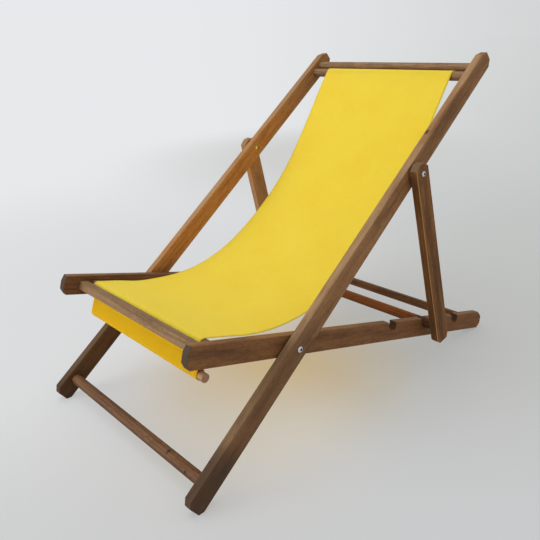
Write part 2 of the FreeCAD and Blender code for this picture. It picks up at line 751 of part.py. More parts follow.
def build(doc):
    """Make every piece of the chair and return them."""
    s = Values(fill_sheet(doc, "Sizes", SIZES))
    w = Values(fill_sheet(doc, "Worked", work_out(s)))
    back = Frame(doc, "Worked.back_angle", "Worked.pivot_height", "Worked.pivot_y")
    seat = Frame(doc, "-Worked.seat_angle", "Worked.pivot_height", "Worked.pivot_y")
    prop = Frame(doc, "-Worked.prop_angle", "Worked.prop_pivot_height", "Worked.prop_pivot_y")
    pieces = []
    for side, word in ((LEFT, "left"), (RIGHT, "right")):
        pieces.append(back_rail(back, f"back_rail_{word}", side))
        pieces.append(seat_rail(seat, f"seat_rail_{word}", side))
        pieces.append(prop_leg(prop, f"prop_leg_{word}", side))

    dowel, prop_dowel = "Sizes.dowel_diameter", "Sizes.prop_bar_diameter"
    pieces += [
        round_bar(back, "foot_bar", "-Sizes.foot_bar_distance", dowel, "Worked.back_inner"),
        round_bar(back, "top_bar_lower", "Sizes.top_bar_distance", dowel, "Worked.back_inner"),
        round_bar(back, "top_bar_upper", "Worked.top_bar_upper_distance", dowel, "Worked.back_inner"),
        round_bar(seat, "front_dowel", "-Sizes.front_dowel_distance", dowel, "Worked.seat_inner"),
        round_bar(prop, "prop_bar", "Sizes.prop_length", prop_dowel, "Worked.prop_inner"),
        square_bar(seat, "front_bar", "-Worked.front_bar_place", "0",
                   "Sizes.front_bar_width", "Sizes.front_bar_height", "Worked.seat_inner"),
        square_bar(seat, "rear_stretcher", "Worked.stretcher_distance", "Worked.stretcher_place",
                   "Sizes.stretcher_width", "Sizes.stretcher_height", "Worked.seat_inner"),
    ]

    pivots = (
        ("main_pivot", seat, "0", "Worked.back_outer", "Worked.seat_outer", "Worked.seat_inner",
         "Sizes.main_washer_thickness"),
        ("prop_pivot", back, "Sizes.prop_pivot_distance", "Worked.prop_inner + Sizes.rail_thickness",
         "Worked.back_outer", "Worked.back_inner", "Sizes.prop_washer_thickness"),
    )
    for name, frame, along, outer, joint, inner, washer in pivots:
        sleeve_start = f"{inner} + Sizes.sleeve_recess"
        pieces.append(pivot_bolts(doc, frame, f"{name}_bolts", along, outer, sleeve_start))
        pieces.append(ring(doc, frame, f"{name}_sleeves", along, sleeve_start,
                           "Sizes.sleeve_length", "Sizes.sleeve_diameter", BOLT_HOLE))
        pieces.append(ring(doc, frame, f"{name}_washers", along, f"{joint} + Sizes.pivot_play",
                           washer, "Sizes.washer_diameter", BOLT_HOLE))

    front, upper = rod_places(s, w)
    fill_sheet(doc, "Hems", (
        ("front_rod_y", front.y), ("front_rod_z", front.z),
        ("top_rod_y", upper.y), ("top_rod_z", upper.z),
    ))
    pieces.append(make_sling(doc, "sling", s, w))
    pieces.append(make_rod(doc, "sling_rod_front", "front_rod", "Sizes.front_rod_length"))
    pieces.append(make_rod(doc, "sling_rod_top", "top_rod", "Sizes.top_rod_length"))
    doc.recompute()
    return pieces


def check(doc, pieces):
    """Stop if any object failed or any piece isn't a sound solid."""
    for thing in doc.Objects:
        if {"Invalid", "Error"} & set(thing.State):
            raise RuntimeError(f"{thing.Label} failed: {thing.State}")
    for piece in pieces:
        if piece.Shape.isNull() or not piece.Shape.isValid() or not piece.Shape.Solids:
            raise RuntimeError(f"{piece.Label} is not a sound solid")


def main():
    doc = FreeCAD.newDocument("DeckChair")
    pieces = build(doc)
    check(doc, pieces)
    os.makedirs("parts", exist_ok=True)
    for piece in pieces:
        piece.Shape.exportStep(f"parts/{piece.Label}.step")
        box = piece.Shape.BoundBox
        print(f"{piece.Label:20s} {piece.Shape.Volume:12.1f} mm3  "
              f"Y {box.YMin:8.2f} {box.YMax:8.2f}  Z {box.ZMin:8.2f} {box.ZMax:8.2f}")
    for alias, number in work_out(Values(doc.Sizes)):
        print(alias, round(number, 4))


main()
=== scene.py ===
import math

import bpy
import numpy as np
from mathutils import Matrix, Vector

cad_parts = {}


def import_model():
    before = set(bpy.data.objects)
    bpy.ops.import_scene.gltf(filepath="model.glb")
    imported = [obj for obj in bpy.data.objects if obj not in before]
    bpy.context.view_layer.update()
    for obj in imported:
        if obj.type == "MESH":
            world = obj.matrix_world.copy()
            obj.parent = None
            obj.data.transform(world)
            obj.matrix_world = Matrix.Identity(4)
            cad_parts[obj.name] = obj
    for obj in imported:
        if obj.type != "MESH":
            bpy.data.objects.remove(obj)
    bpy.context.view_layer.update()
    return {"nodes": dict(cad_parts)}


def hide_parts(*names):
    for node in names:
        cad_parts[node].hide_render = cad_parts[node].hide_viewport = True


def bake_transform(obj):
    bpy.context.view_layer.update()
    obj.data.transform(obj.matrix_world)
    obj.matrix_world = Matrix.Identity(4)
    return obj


# Looks for a folding sling deck chair: wood, metal, a canvas sling, a pale studio.
# Lengths are in metres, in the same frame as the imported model. Left and right are as seen from
# the front of the chair.

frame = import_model()
NODES = frame["nodes"]

BACK_ANGLE = math.radians(37.5523)
SEAT_ANGLE = math.radians(15.6881)
PROP_ANGLE = math.radians(77.9051)
MAIN_PIVOT = Vector((0, -0.2244424, 0.2221643))
PROP_PIVOT = Vector((0, 0.149758, 0.5098413))
RAIL_HALF_DEPTH = 0.0225


def srgb(red, green, blue):
    """A colour as it is written on screen, as the linear one that a shader takes."""
    def linear(value):
        value /= 255
        return value / 12.92 if value <= 0.04045 else ((value + 0.055) / 1.055) ** 2.4
    return (linear(red), linear(green), linear(blue), 1)


# materials

class Graph:
    """A node tree, with its nodes added and linked in one line each."""

    def __init__(self, tree):
        self.tree = tree

    def put(self, kind, inputs=(), **settings):
        node = self.tree.nodes.new("ShaderNode" + kind)
        for name, value in settings.items():
            setattr(node, name, value)
        for key, value in dict(inputs).items():
            self.feed(node.inputs[key], value)
        return node

    def feed(self, socket, value):
        if isinstance(value, bpy.types.NodeSocket):
            self.tree.links.new(value, socket)
        else:
            socket.default_value = value

    def math(self, operation, first, second=0.0, clamp=False):
        node = self.put("Math", {0: first, 1: second}, operation=operation, use_clamp=clamp)
        return node.outputs[0]

    def plus(self, first, second, clamp=False):
        return self.math("ADD", first, second, clamp)

    def minus(self, first, second):
        return self.math("SUBTRACT", first, second)

    def times(self, first, second):
        return self.math("MULTIPLY", first, second)

    def size(self, value):
        """A number without its sign."""
        return self.math("ABSOLUTE", value)

    def ramp(self, value, low, high):
        """0 up to low, 1 from high, smooth between."""
        node = self.put("MapRange", {"Value": value, "From Min": low, "From Max": high},
                        interpolation_type="SMOOTHSTEP")
        return node.outputs["Result"]

    def mix(self, factor, first, second):
        node = self.put("Mix", data_type="RGBA")
        self.feed(node.inputs[0], factor)
        self.feed(node.inputs[6], first)
        self.feed(node.inputs[7], second)
        return node.outputs[2]

    def tint(self, colour, tone, mask, strength):
        """The colour with a tone over it where the mask is, as strong as given."""
        return self.mix(self.times(mask, strength), colour, tone)

    def noise(self, vector, scale, detail=4.0, roughness=0.55, distortion=0.0):
        node = self.put("TexNoise", {"Vector": vector, "Scale": scale, "Detail": detail,
                                     "Roughness": roughness, "Distortion": distortion})
        return node.outputs["Fac"]

    def scaled(self, vector, scale):
        return self.put("Mapping", {"Vector": vector, "Scale": scale}).outputs["Vector"]

    def part(self, vector, axis):
        """A vector's X, Y or Z."""
        return self.put("SeparateXYZ", {"Vector": vector}).outputs[axis]

    def offset(self, place, centre):
        return self.put("VectorMath", {0: place, 1: centre}, operation="SUBTRACT").outputs[0]

    def length(self, vector):
        return self.put("VectorMath", {0: vector}, operation="LENGTH").outputs["Value"]

    def along(self, vector, way):
        """How far a vector goes that way."""
        return self.put("VectorMath", {0: vector, 1: way}, operation="DOT_PRODUCT").outputs["Value"]


class Surface(Graph):
    """A material's graph, with its shader."""

    def __init__(self, name):
        self.material = bpy.data.materials.new(name)
        self.material.use_nodes = True
        super().__init__(self.material.node_tree)
        self.shader = self.tree.nodes["Principled BSDF"]
        self.output = self.tree.nodes["Material Output"]

    def dress(self, inputs):
        """Give the shader's inputs their values by name."""
        for name, value in inputs.items():
            self.feed(self.shader.inputs[name], value)

    def bump(self, height, strength, distance):
        node = self.put("Bump", {"Height": height, "Strength": strength, "Distance": distance})
        self.feed(self.shader.inputs["Normal"], node.outputs["Normal"])


WOOD_TONES = (srgb(106, 70, 40), srgb(154, 108, 66), srgb(178, 147, 108))
END_GRAIN = srgb(63, 51, 41)
WORN_END = srgb(150, 118, 86)
KNOT = srgb(30, 19, 12)
KNOT_STRETCH = (1, 0.6, 0.4)
DARKER_WOOD = srgb(47, 33, 23)
DARKER_AMBER = srgb(40, 22, 9)
# How far the grain of one piece is moved from that of the next.
SEED_STEP = (0.137, 0.311, 0.053)
PALE_CORNER = 0.0028
WOOD_RELIEF = 0.0004
# How much of the wood's figure comes from its rings, its fine streaks and its broad ones.
RINGS_SHARE, FINE_SHARE, BROAD_SHARE = 0.13, 0.52, 0.40
# How far the border of a darker stretch wanders with the grain.
DARK_BORDER_WANDER = 0.06
# A knot's dark core and outer rim, and how far the grain frays it, as shares of its radius.
KNOT_CORE, KNOT_RIM, KNOT_FRAY = 0.6, 1.3, 0.5


def wood(name, pivot, angle, seed, bar=False, tones=WOOD_TONES, knots=(), end=END_GRAIN,
         darker_stretches=(), darker_tone=DARKER_WOOD, darker_top=0.0, lined=0.0, painted_edge_shading=False):
    """Oiled timber with its grain along the piece. Rails run along the frame, bars across it.

    Tones are dark, middle and pale. Knots are places and radii. Darker stretches say where the
    wood starts to darken, where it is darkest and how much is covered, by the place along a rail
    or by minus the distance from a bar's middle. Darker top is how much darker the upper side is,
    and lined how dark the long open lines of the grain are. With painted edge shading, the narrow
    faces of a rail get painted shade and their corners a painted highlight."""
    g = Surface(name)
    dark, middle, pale = tones
    coordinates = g.put("TexCoord").outputs
    normal = coordinates["Normal"]
    tilt = (angle, 0, 0)
    local = g.put("Mapping", {"Vector": coordinates["Object"], "Location": pivot, "Rotation": tilt},
                  vector_type="TEXTURE").outputs["Vector"]
    facing = g.put("Mapping", {"Vector": normal, "Rotation": tilt},
                   vector_type="TEXTURE").outputs["Vector"]
    turned = local
    if bar:
        quarter = (0, 0, math.pi / 2)
        turned = g.put("Mapping", {"Vector": local, "Rotation": quarter}).outputs["Vector"]
    shift = tuple(step * seed for step in SEED_STEP)
    placed = g.put("Mapping", {"Vector": turned, "Location": shift}).outputs["Vector"]

    def drawn_out(share):
        """The place with its length counting for less, so that patterns run along the grain."""
        return g.scaled(placed, (1, share, 1))

    streak = drawn_out(0.07)
    hair = drawn_out(0.012)
    broad = g.noise(drawn_out(0.18), scale=34, detail=3, roughness=0.5, distortion=0.6)
    fine = g.noise(streak, scale=260, detail=5, roughness=0.62)
    rings = g.put("TexWave", {"Vector": streak, "Scale": 42, "Distortion": 5.5, "Detail": 3,
                              "Detail Scale": 1.4}, wave_type="RINGS", rings_direction="Y")
    pores = g.ramp(g.noise(hair, scale=1500, detail=2, roughness=0.5), 0.62, 0.74)
    blotches = g.noise(drawn_out(0.45), scale=26, detail=5, roughness=0.68)
    flecks = g.noise(drawn_out(0.24), scale=420, detail=3, roughness=0.6)

    figure = g.plus(g.times(rings.outputs["Fac"], RINGS_SHARE), g.times(fine, FINE_SHARE))
    figure = g.plus(figure, g.times(broad, BROAD_SHARE), clamp=True)
    colour = g.mix(g.ramp(figure, 0.28, 0.56), dark, middle)
    colour = g.tint(colour, pale, g.ramp(figure, 0.50, 0.74), strength=0.4)
    colour = g.tint(colour, dark, pores, strength=0.6)
    colour = g.tint(colour, dark, g.ramp(blotches, 0.50, 0.68), strength=0.45)
    colour = g.tint(colour, dark, g.ramp(flecks, 0.50, 0.64), strength=0.44)
    if lined:
        lines = g.noise(hair, scale=190, detail=2, roughness=0.5)
        colour = g.tint(colour, dark, g.ramp(lines, 0.55, 0.62), lined)
    if darker_top:
        upward = g.ramp(g.part(facing, "Z"), 0.6, 0.9)
        colour = g.tint(colour, dark, upward, darker_top)
    ends = g.ramp(g.size(g.part(facing, "X" if bar else "Y")), 0.45, 0.8)
    colour = g.tint(colour, end, ends, strength=0.85)

    if bar:
        # Painted shade on the undersides of the bars, where the light from above does not reach.
        underside_shade = g.ramp(g.part(normal, "Z"), 0.3, -0.4)
        colour = g.tint(colour, dark, underside_shade, strength=0.5)
        reach = g.times(g.size(g.part(local, "X")), -1.0)
    else:
        # The narrow faces and the corners beside them are paler, partly from wear and partly as a
        # painted sheen. With painted edge shading, the narrow faces get painted shade and the corners
        # a painted highlight.
        depth = g.size(g.part(local, "Z"))
        corner = g.ramp(depth, RAIL_HALF_DEPTH - PALE_CORNER, RAIL_HALF_DEPTH)
        if painted_edge_shading:
            sideways = g.size(g.part(facing, "X"))
            colour = g.tint(colour, dark, g.ramp(sideways, 0.5, 0.3), strength=0.55)
            colour = g.tint(colour, pale, g.times(corner, g.ramp(sideways, 0.3, 0.5)), strength=0.9)
        else:
            colour = g.tint(colour, pale, g.times(corner, g.ramp(broad, 0.3, 0.7)), strength=0.65)
        reach = g.plus(g.part(local, "Y"), g.times(g.minus(broad, 0.5), DARK_BORDER_WANDER))
    for start, darkest, covered in darker_stretches:
        untouched = g.ramp(reach, darkest, start)
        colour = g.tint(colour, darker_tone, g.minus(1.0, untouched), covered)
    for centre, radius in knots:
        distance = g.length(g.scaled(g.offset(local, centre), KNOT_STRETCH))
        distance = g.plus(distance, g.times(fine, radius * KNOT_FRAY))
        outside = g.ramp(distance, radius * KNOT_CORE, radius * KNOT_RIM)
        colour = g.tint(colour, KNOT, g.minus(1.0, outside), strength=0.8)

    g.dress({"Base Color": colour, "Specular IOR Level": 0.25,
             "Roughness": g.plus(0.54, g.times(fine, 0.22))})
    g.bump(g.minus(fine, g.times(pores, 0.8)), strength=0.16, distance=WOOD_RELIEF)
    return g.material


# Grease and painted shade in the recesses of the bolts' heads.
GREASE_AND_SHADE = srgb(52, 68, 76)
HEAD_RECESS = 0.0031
# The bolts' heads begin and are complete this far from the middle of the chair.
HEADS_FROM, HEADS_FULL = 0.272, 0.276
METAL_RELIEF = 0.0001


def metal(name, colour, dull, roughness, axis=None):
    """Plated metal with faint clouding and fine scratches.

    With an axis, grease and shade darken the recess of the heads about it."""
    g = Surface(name)
    place = g.put("TexCoord").outputs["Object"]
    clouds = g.noise(place, scale=320, detail=4, roughness=0.6)
    tone = g.mix(g.ramp(clouds, 0.4, 0.7), colour, dull)
    if axis is not None:
        distance = g.length(g.scaled(g.offset(place, axis), (0, 1, 1)))
        outer = g.ramp(g.size(g.part(place, "X")), HEADS_FROM, HEADS_FULL)
        within = g.times(g.ramp(distance, HEAD_RECESS, HEAD_RECESS * 0.8), outer)
        tone = g.mix(within, tone, GREASE_AND_SHADE)
    g.dress({"Base Color": tone, "Metallic": 1, "Roughness": g.plus(roughness, g.times(clouds, 0.16))})
    scratches = g.noise(g.scaled(place, (1, 0.15, 1)), scale=2600, detail=2)
    g.bump(scratches, strength=0.12, distance=METAL_RELIEF)
    return g.material


CANVAS_COLOUR = srgb(252, 212, 73)
CANVAS_SHADE = srgb(246, 198, 59)
CANVAS_DOUBLED = srgb(236, 176, 20)
CANVAS_RELIEF = 0.0003
# How much the cloth's soft clouds, thick threads and weave bring in the deeper shade.
SOFT_SHADE, SLUB_SHADE, WEAVE_SHADE = 0.3, 0.35, 0.2
# How high the weave and the creases stand beside the thick threads.
WEAVE_HEIGHT, CREASE_HEIGHT = 0.6, 22.0
# The hem's deeper tone fades between these, measured from where the seat begins.
DOUBLED_TO, SINGLE_FROM = -0.008, 0.004


def canvas(name, hem_end):
    """Plain-woven cotton. The map is in metres: u across the cloth and v along it.

    No light comes through the doubled cloth of the hem, so it looks deeper up to hem_end."""
    g = Surface(name)
    uv = g.put("UVMap", uv_map="cloth").outputs["UV"]

    def threads(direction):
        return g.put("TexWave", {"Vector": uv, "Scale": 520, "Distortion": 0.6, "Detail": 1},
                     bands_direction=direction).outputs["Fac"]

    def thick_threads(stretch):
        return g.noise(g.scaled(uv, stretch), scale=700, detail=3)

    weave = g.times(threads("X"), threads("Y"))
    slubs = g.times(g.plus(thick_threads((1, 0.05, 1)), thick_threads((0.05, 1, 1))), 0.5)
    soft = g.noise(uv, scale=9, detail=3, roughness=0.5)
    creases = g.noise(g.scaled(uv, (1, 0.55, 1)), scale=16, detail=4, roughness=0.55, distortion=0.8)
    tone = g.plus(g.times(g.ramp(soft, 0.35, 0.7), SOFT_SHADE),
                  g.times(g.ramp(slubs, 0.35, 0.65), SLUB_SHADE))
    tone = g.plus(tone, g.times(weave, WEAVE_SHADE), clamp=True)
    colour = g.mix(tone, CANVAS_COLOUR, CANVAS_SHADE)
    single = g.ramp(g.part(uv, "Y"), hem_end + DOUBLED_TO, hem_end + SINGLE_FROM)
    g.dress({
        "Base Color": g.mix(single, CANVAS_DOUBLED, colour),
        "Roughness": 0.88,
        "Specular IOR Level": 0.08,
        "Subsurface Weight": 0.8,
        "Subsurface Radius": (1.0, 1.0, 0.2),
        "Subsurface Scale": 0.003,
        "Sheen Weight": 0.02,
        "Sheen Roughness": 0.5,
    })
    relief = g.plus(g.times(weave, WEAVE_HEIGHT), slubs)
    relief = g.plus(relief, g.times(creases, CREASE_HEIGHT))
    g.bump(relief, strength=0.25, distance=CANVAS_RELIEF)
    return g.material


THREAD_PALE = srgb(244, 222, 112)
THREAD_DEEP = srgb(222, 190, 62)
THREAD_RELIEF = 0.0002


def thread(name):
    g = Surface(name)
    twist = g.noise(g.put("TexCoord").outputs["Object"], scale=2200, detail=2)
    g.dress({"Base Color": g.mix(twist, THREAD_PALE, THREAD_DEEP), "Roughness": 0.7})
    g.bump(twist, strength=0.2, distance=THREAD_RELIEF)
    return g.material


def cover(node, material):
    """Give every face of a CAD node this material."""
    slots = NODES[node].data.materials
    slots.clear()
    slots.append(material)


BAR_TONES = (srgb(74, 46, 26), srgb(116, 80, 50), srgb(148, 113, 80))
FRONT_TONES = (srgb(104, 75, 46), srgb(154, 120, 82), srgb(180, 148, 108))
PALE_TONES = (srgb(99, 71, 45), srgb(151, 116, 82), srgb(176, 144, 106))
# The amber tones hold painted light: yellow light bounced off the sling onto the left back rail.
AMBER_TONES = (srgb(132, 84, 38), srgb(182, 126, 66), srgb(170, 138, 102))
SEAT_TONES = (srgb(90, 57, 30), srgb(133, 88, 49), srgb(156, 114, 66))
LEG_TONES = (srgb(79, 49, 22), srgb(122, 77, 33), srgb(192, 142, 86))
CROSS_TONES = (srgb(104, 56, 21), srgb(148, 86, 35), srgb(164, 112, 64))
SHADED_TONES = (srgb(78, 49, 28), srgb(114, 75, 43), srgb(160, 115, 62))
ROD_TONES = (srgb(156, 116, 84), srgb(184, 144, 108), srgb(206, 172, 136))
ROD_END = srgb(186, 138, 104)

RAIL_MARKS = (((0.2633, 0.575, 0.0225), 0.006), ((0.2603, -0.2633, 0.0225), 0.002))
FOOT_BAR_MARKS = (((0.1477, -0.2925, 0.0115), 0.005), ((0.2129, -0.3032, 0.0115), 0.0035),
                  ((0.1158, -0.2909, 0.0115), 0.0015))
# The left rail darkens below the seat as painted shade, and also at its foot and towards its top.
LEFT_RAIL_DARKER = ((0.05, -0.14, 0.72), (-0.22, -0.34, 0.5), (0.5, 0.76, 0.2))
RIGHT_RAIL_DARKER = ((0.14, -0.03, 0.4), (-0.20, -0.27, 0.66))
# Painted shade on the prop bar's ends, between the seat rail and the prop leg.
PROP_BAR_SHADED_ENDS = ((-0.222, -0.238, 0.7),)

RAILS = (
    ("back_rail_left", MAIN_PIVOT, BACK_ANGLE,
     {"tones": AMBER_TONES, "end": WORN_END, "darker_stretches": LEFT_RAIL_DARKER, "darker_tone": DARKER_AMBER}),
    ("back_rail_right", MAIN_PIVOT, BACK_ANGLE,
     {"end": WORN_END, "knots": RAIL_MARKS, "darker_stretches": RIGHT_RAIL_DARKER}),
    ("seat_rail_left", MAIN_PIVOT, -SEAT_ANGLE, {"tones": SHADED_TONES}),
    ("seat_rail_right", MAIN_PIVOT, -SEAT_ANGLE, {"tones": SEAT_TONES}),
    ("prop_leg_left", PROP_PIVOT, -PROP_ANGLE, {"tones": AMBER_TONES, "end": WORN_END}),
    ("prop_leg_right", PROP_PIVOT, -PROP_ANGLE,
     {"tones": LEG_TONES, "end": WORN_END, "painted_edge_shading": True}),
)
BARS = (
    ("foot_bar", MAIN_PIVOT, BACK_ANGLE, {"tones": BAR_TONES, "knots": FOOT_BAR_MARKS}),
    ("top_bar_lower", MAIN_PIVOT, BACK_ANGLE, {"tones": PALE_TONES}),
    ("top_bar_upper", MAIN_PIVOT, BACK_ANGLE, {"tones": PALE_TONES}),
    ("front_dowel", MAIN_PIVOT, -SEAT_ANGLE, {"tones": BAR_TONES}),
    ("front_bar", MAIN_PIVOT, -SEAT_ANGLE, {"tones": FRONT_TONES, "darker_top": 0.35, "lined": 0.6}),
    ("rear_stretcher", MAIN_PIVOT, -SEAT_ANGLE, {"tones": SHADED_TONES}),
    ("prop_bar", PROP_PIVOT, -PROP_ANGLE, {"tones": CROSS_TONES, "darker_stretches": PROP_BAR_SHADED_ENDS}),
    ("sling_rod_front", MAIN_PIVOT, 0.0, {"tones": ROD_TONES, "end": ROD_END}),
    ("sling_rod_top", MAIN_PIVOT, 0.0, {"tones": ROD_TONES, "end": ROD_END}),
)
FIRST_BAR_SEED = 11
for seed, (node, pivot, angle, looks) in enumerate(RAILS, start=1):
    cover(node, wood(f"{node}_wood", pivot, angle, seed, **looks))
for seed, (node, pivot, angle, looks) in enumerate(BARS, start=FIRST_BAR_SEED):
    cover(node, wood(f"{node}_wood", pivot, angle, seed, bar=True, **looks))

BOLT_ZINC = (srgb(222, 226, 230), srgb(190, 195, 202), 0.24)
WASHER_ZINC = metal("washer_zinc", srgb(160, 162, 164), srgb(120, 122, 124), 0.42)
BRASS = metal("sleeve_brass", srgb(214, 178, 108), srgb(168, 132, 74), 0.32)
for pivot_name, pivot in (("main_pivot", MAIN_PIVOT), ("prop_pivot", PROP_PIVOT)):
    cover(f"{pivot_name}_bolts", metal(f"{pivot_name}_zinc", *BOLT_ZINC, axis=pivot))
    cover(f"{pivot_name}_washers", WASHER_ZINC)
    cover(f"{pivot_name}_sleeves", BRASS)


# sling

CLOTH = 0.001
GAP = 0.0003
BAR_RADIUS = 0.012
ROD_RADIUS = 0.009
SKIN = BAR_RADIUS + GAP + CLOTH / 2
HEM_RADIUS = ROD_RADIUS + GAP + CLOTH / 2
HEM_DROP = 0.0485
SEAT_SLOPE = math.radians(16)
SEAT_RUN = 0.090
HOLLOW_RADIUS = 0.430
HOLLOW_TURN = math.radians(43)
BACK_BEND = 0.1555
FRONT_DOWEL = 0.1785
TOP_BAR = 0.7865
TOP_SPACING = 0.0305
SLING_WIDTH = 0.416
FRONT_SHIFT, TOP_SHIFT = -0.010, 0.0095
# The front hem closes this far above its rod, and its flap goes on above that, beside the cloth.
HEM_GATE = 0.030
FLAP = 0.014
FLAP_OFFSET = CLOTH * 1.1
# The cloth turns into the top hem this far into the slot between the bars, and its end comes
# back this share of the way there.
SLOT_ENTRY, TOP_FLAP_SHARE = 0.0015, 0.5
STEP = 0.004
ARC_STEP = 0.15
RING_STEPS = 28
COLUMNS = 57


def flat(y, z):
    return np.array([y, z], float)


def way_at(angle):
    return flat(math.cos(angle), math.sin(angle))


def left_of(angle):
    return flat(-math.sin(angle), math.cos(angle))


def on_frame(distance, angle, across=0.0):
    """A point of a frame in the side view, along its rails and across them."""
    pivot = flat(MAIN_PIVOT.y, MAIN_PIVOT.z)
    return pivot + distance * way_at(angle) + across * left_of(angle)


def arc_points(start, heading, radius, turn):
    """Points along an arc, and its end and heading."""
    centre = start + math.copysign(1, turn) * radius * left_of(heading)
    spoke = start - centre
    count = max(3, int(abs(turn) * radius / STEP), int(abs(turn) / ARC_STEP))
    points = []
    for index in range(1, count + 1):
        angle = turn * index / count
        c, s = math.cos(angle), math.sin(angle)
        points.append(centre + flat(c * spoke[0] - s * spoke[1], s * spoke[0] + c * spoke[1]))
    return points, points[-1], heading + turn


def line_points(start, end):
    count = max(1, int(np.linalg.norm(end - start) / STEP))
    return [start + (end - start) * index / count for index in range(1, count + 1)]


def hem_loop(gate, centre):
    """Round a rod: from the tangent point on one side of the gate, the long way, to the other."""
    away = gate - centre
    half = math.acos(HEM_RADIUS / np.linalg.norm(away))
    start = math.atan2(away[1], away[0]) - half
    sweep = -(2 * math.pi - 2 * half)
    return [centre + HEM_RADIUS * way_at(start + sweep * index / RING_STEPS)
            for index in range(RING_STEPS + 1)]


def sling_line():
    """The cloth's middle line in the side view, from the front hem's flap to the top hem."""
    dowel = on_frame(-FRONT_DOWEL, -SEAT_ANGLE)
    front_rod = dowel - flat(SKIN, HEM_DROP + ROD_RADIUS + GAP)
    gate = front_rod + flat(0, HEM_GATE)
    ring = hem_loop(gate, front_rod)
    seam = gate + flat(FLAP_OFFSET, 0)
    flap_top = seam + flat(0, FLAP)
    shoulder = dowel - flat(SKIN, 0)
    line = [flap_top] + line_points(flap_top, seam) + line_points(seam, ring[0])
    line += ring[1:] + line_points(ring[-1], gate) + line_points(gate, shoulder)
    start_of_seat = len(line)

    # Over the dowel, down the seat's straight run and round its hollow.
    points, place, heading = arc_points(shoulder, math.pi / 2, SKIN, -math.pi / 2 - SEAT_SLOPE)
    seat_end = place + SEAT_RUN * way_at(heading)
    line += points + line_points(place, seat_end)
    points, place, heading = arc_points(seat_end, heading, HOLLOW_RADIUS, HOLLOW_TURN)
    line += points

    # A wide bend, then straight up to the lower top bar and over it.
    away = on_frame(TOP_BAR, BACK_ANGLE) - (place + BACK_BEND * way_at(heading))
    distance = np.linalg.norm(away)
    turn = math.atan2(away[1], away[0]) + math.asin(SKIN / distance) - heading
    points, place, heading = arc_points(place, heading, BACK_BEND / math.tan(turn / 2), turn)
    straight = math.sqrt(distance**2 - SKIN**2) - BACK_BEND
    back_end = place + straight * way_at(heading)
    line += points + line_points(place, back_end)
    points, place, _ = arc_points(back_end, heading, SKIN, BACK_ANGLE - math.pi / 2 - heading)
    line += points
    end_of_back = len(line)

    # Down through the slot between the bars and round the upper rod.
    apart = BAR_RADIUS + ROD_RADIUS + CLOTH + 2 * GAP
    depth = math.sqrt(apart**2 - (TOP_SPACING / 2) ** 2)
    top_rod = on_frame(TOP_BAR + TOP_SPACING / 2, BACK_ANGLE, -depth)
    gate = place + SLOT_ENTRY * flat(math.sin(BACK_ANGLE), -math.cos(BACK_ANGLE))
    ring = hem_loop(gate, top_rod)
    line += [gate] + line_points(gate, ring[0]) + ring[1:]
    line += line_points(ring[-1], ring[-1] + (gate - ring[-1]) * TOP_FLAP_SHARE)
    return np.array(line), start_of_seat, end_of_back, front_rod, top_rod


def lengths_along(line):
    return np.concatenate([[0], np.cumsum(np.linalg.norm(np.diff(line, axis=0), axis=1))])


def normals_of(line):
    """Unit normals, to the left of the way along the line."""
    way = np.gradient(line, axis=0)
    way /= np.linalg.norm(way, axis=1)[:, None]
    return np.stack([-way[:, 1], way[:, 0]], axis=1)


LINE, SEAT_START, BACK_END, FRONT_ROD, TOP_ROD = sling_line()
ALONG = lengths_along(LINE)


def shift_at(y):
    """How far the cloth lies to one side: it hangs a little askew."""
    share = (y - FRONT_ROD[0]) / (TOP_ROD[0] - FRONT_ROD[0])
    return FRONT_SHIFT + (TOP_SHIFT - FRONT_SHIFT) * min(1, max(0, share))


# The cloth is held flat this far from each bar, and its sag comes in over this much more.
HELD, EASED = 0.02, 0.12
BELLY = 0.0030
RIPPLE = 0.0010
EDGE_RIPPLE = 0.0022
# The left edge is slack a little behind the front dowel.
SLACK = 0.0035
SLACK_PLACE, SLACK_LENGTH = 0.11, 0.05
# The ripples' waves: radians in a metre along the cloth and in half its width, and the start.
LONG_WAVE, CROSS_WAVE, EDGE_WAVE = (7.1, 2.3, 0), (5, 3.4, 0.6), (13, 1.2, 0)
# The powers of the place across that keep a ripple and the slack to the edge.
EDGE_POWER, SLACK_POWER = 6, 4


def wave(u, v, along, across, start):
    return math.sin(along * v + across * u + start)


def sag(u, v):
    """How far the cloth stands off its middle line: its belly, slow ripples and slack edge.

    u runs from -1 to 1 across the cloth and v in metres along it."""
    first, last = ALONG[SEAT_START], ALONG[BACK_END - 1]
    free = min(1, max(0, (v - first - HELD) / EASED)) * min(1, max(0, (last - HELD - v) / EASED))
    free = free * free * (3 - 2 * free)
    belly = -BELLY * (1 - u * u)
    ripple = RIPPLE * wave(u, v, *LONG_WAVE) * wave(u, v, *CROSS_WAVE)
    edge = EDGE_RIPPLE * abs(u) ** EDGE_POWER * wave(u, v, *EDGE_WAVE)
    beyond = (v - first - SLACK_PLACE) / SLACK_LENGTH
    slack = -SLACK * max(0, -u) ** SLACK_POWER * math.exp(-(beyond ** 2))
    return free * (belly + ripple + edge + slack)


def new_mesh(name, vertices, faces):
    """A smooth-shaded mesh."""
    mesh = bpy.data.meshes.new(name)
    mesh.from_pydata(vertices, [], faces)
    mesh.polygons.foreach_set("use_smooth", [True] * len(mesh.polygons))
    return mesh


